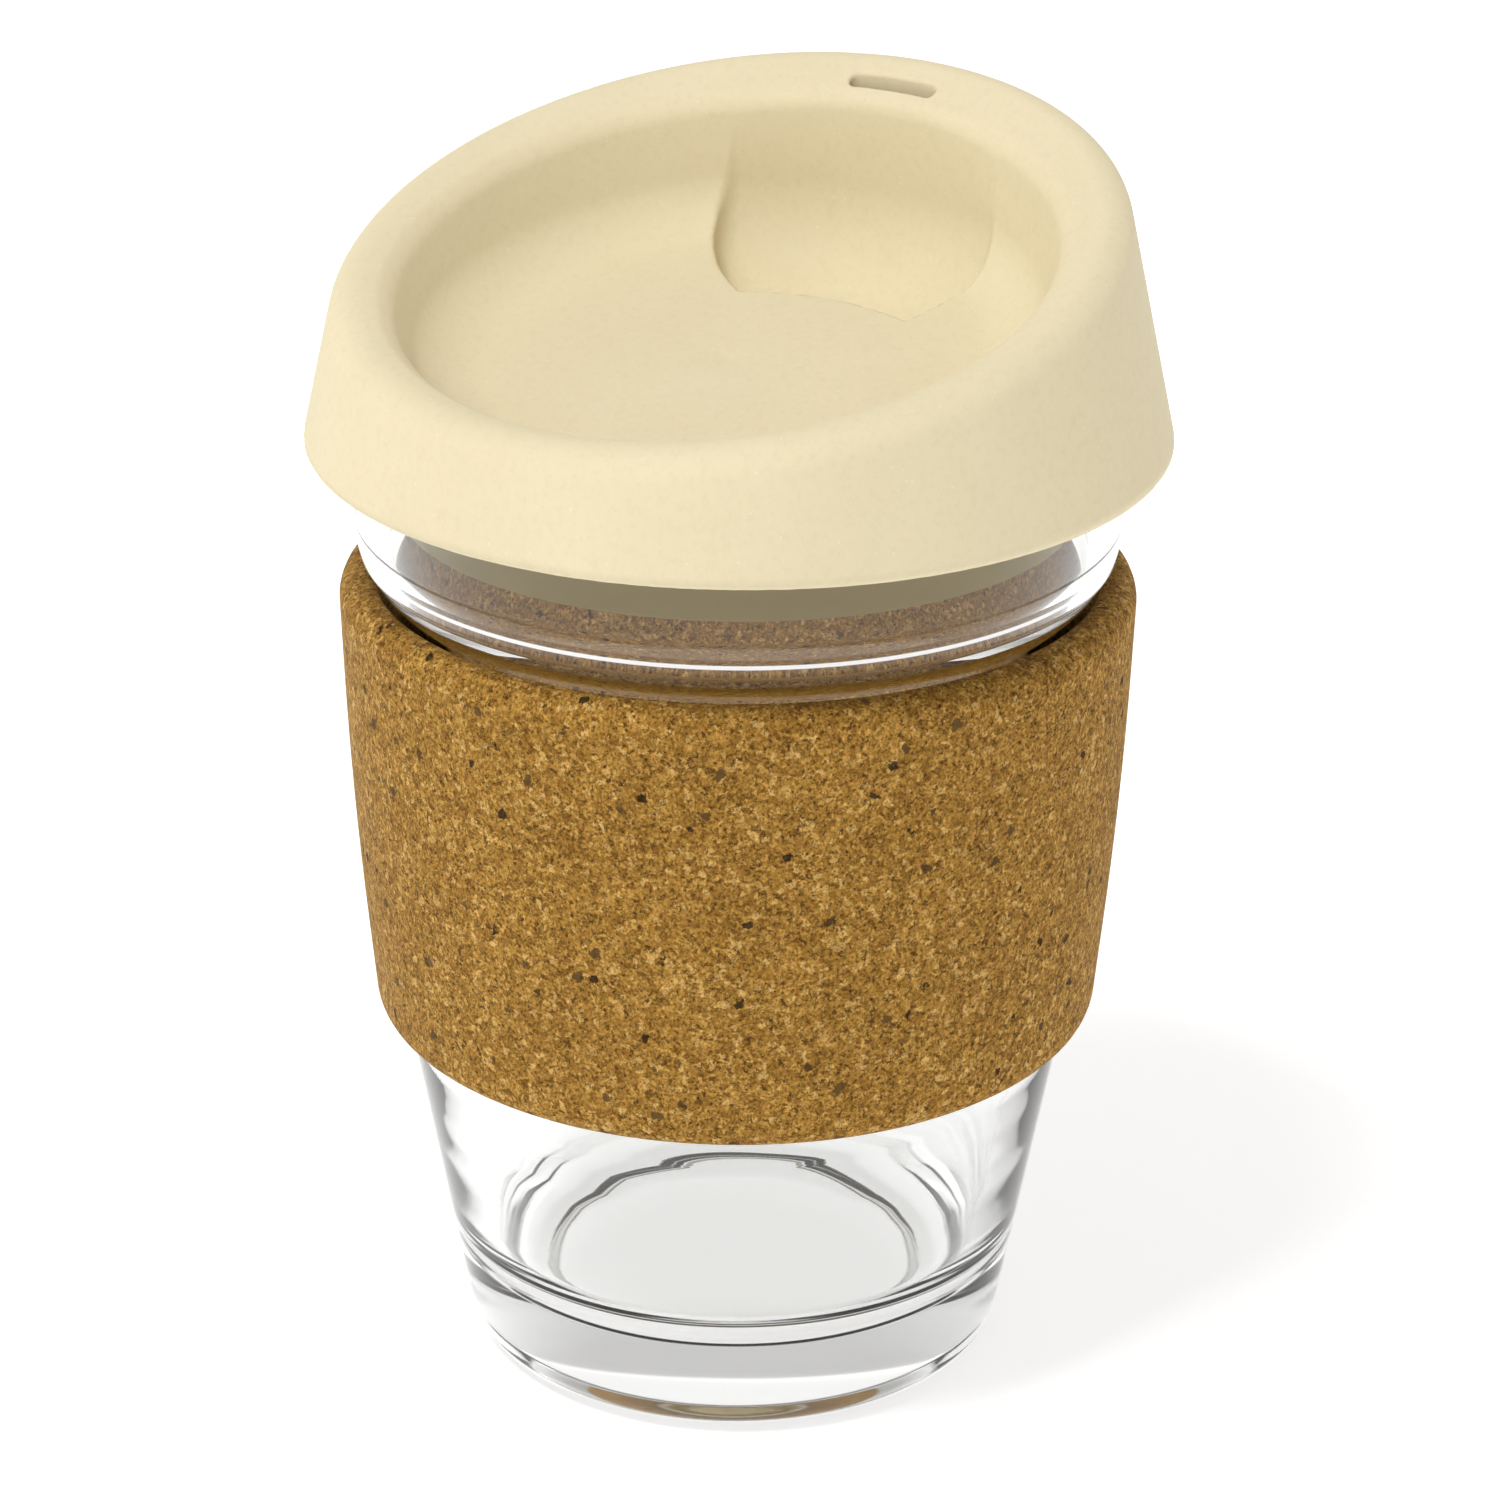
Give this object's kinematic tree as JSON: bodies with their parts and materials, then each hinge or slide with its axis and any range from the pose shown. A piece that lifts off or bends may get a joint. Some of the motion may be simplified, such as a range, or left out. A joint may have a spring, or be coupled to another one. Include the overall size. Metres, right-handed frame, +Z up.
{
  "type": "reusable travel cup",
  "caption": "Clear glass tumbler with a slide-on cork sleeve and a push-on silicone lid whose slanted rim has a sip slot and a nose recess.",
  "frame": {"origin": "centre of the glass foot, on the table plane", "axes": "+Z up along the cup's axis, +X towards the sip slot and the high side of the lid; the cup is symmetric about XZ"},
  "size_m": [0.0934, 0.0934, 0.1389],
  "materials": {
    "clear_glass": "clear, fire polished",
    "cork": "matte agglomerated cork with dark flecks",
    "silicone": "matte pale cream"
  },
  "bodies": {
    "glass": {"glass_tumbler": "clear_glass"},
    "band": {"cork_band": "cork"},
    "lid": {"silicone_lid": "silicone"}
  },
  "joints": [
    {"name": "lid_lift", "type": "slide", "parent": "glass", "child": "lid", "axis": [0, 0, 1], "range_m": [0, 0.04]},
    {"name": "band_slide", "type": "slide", "parent": "glass", "child": "band", "axis": [0, 0, -1], "range_m": [0, 0.04]}
  ]
}
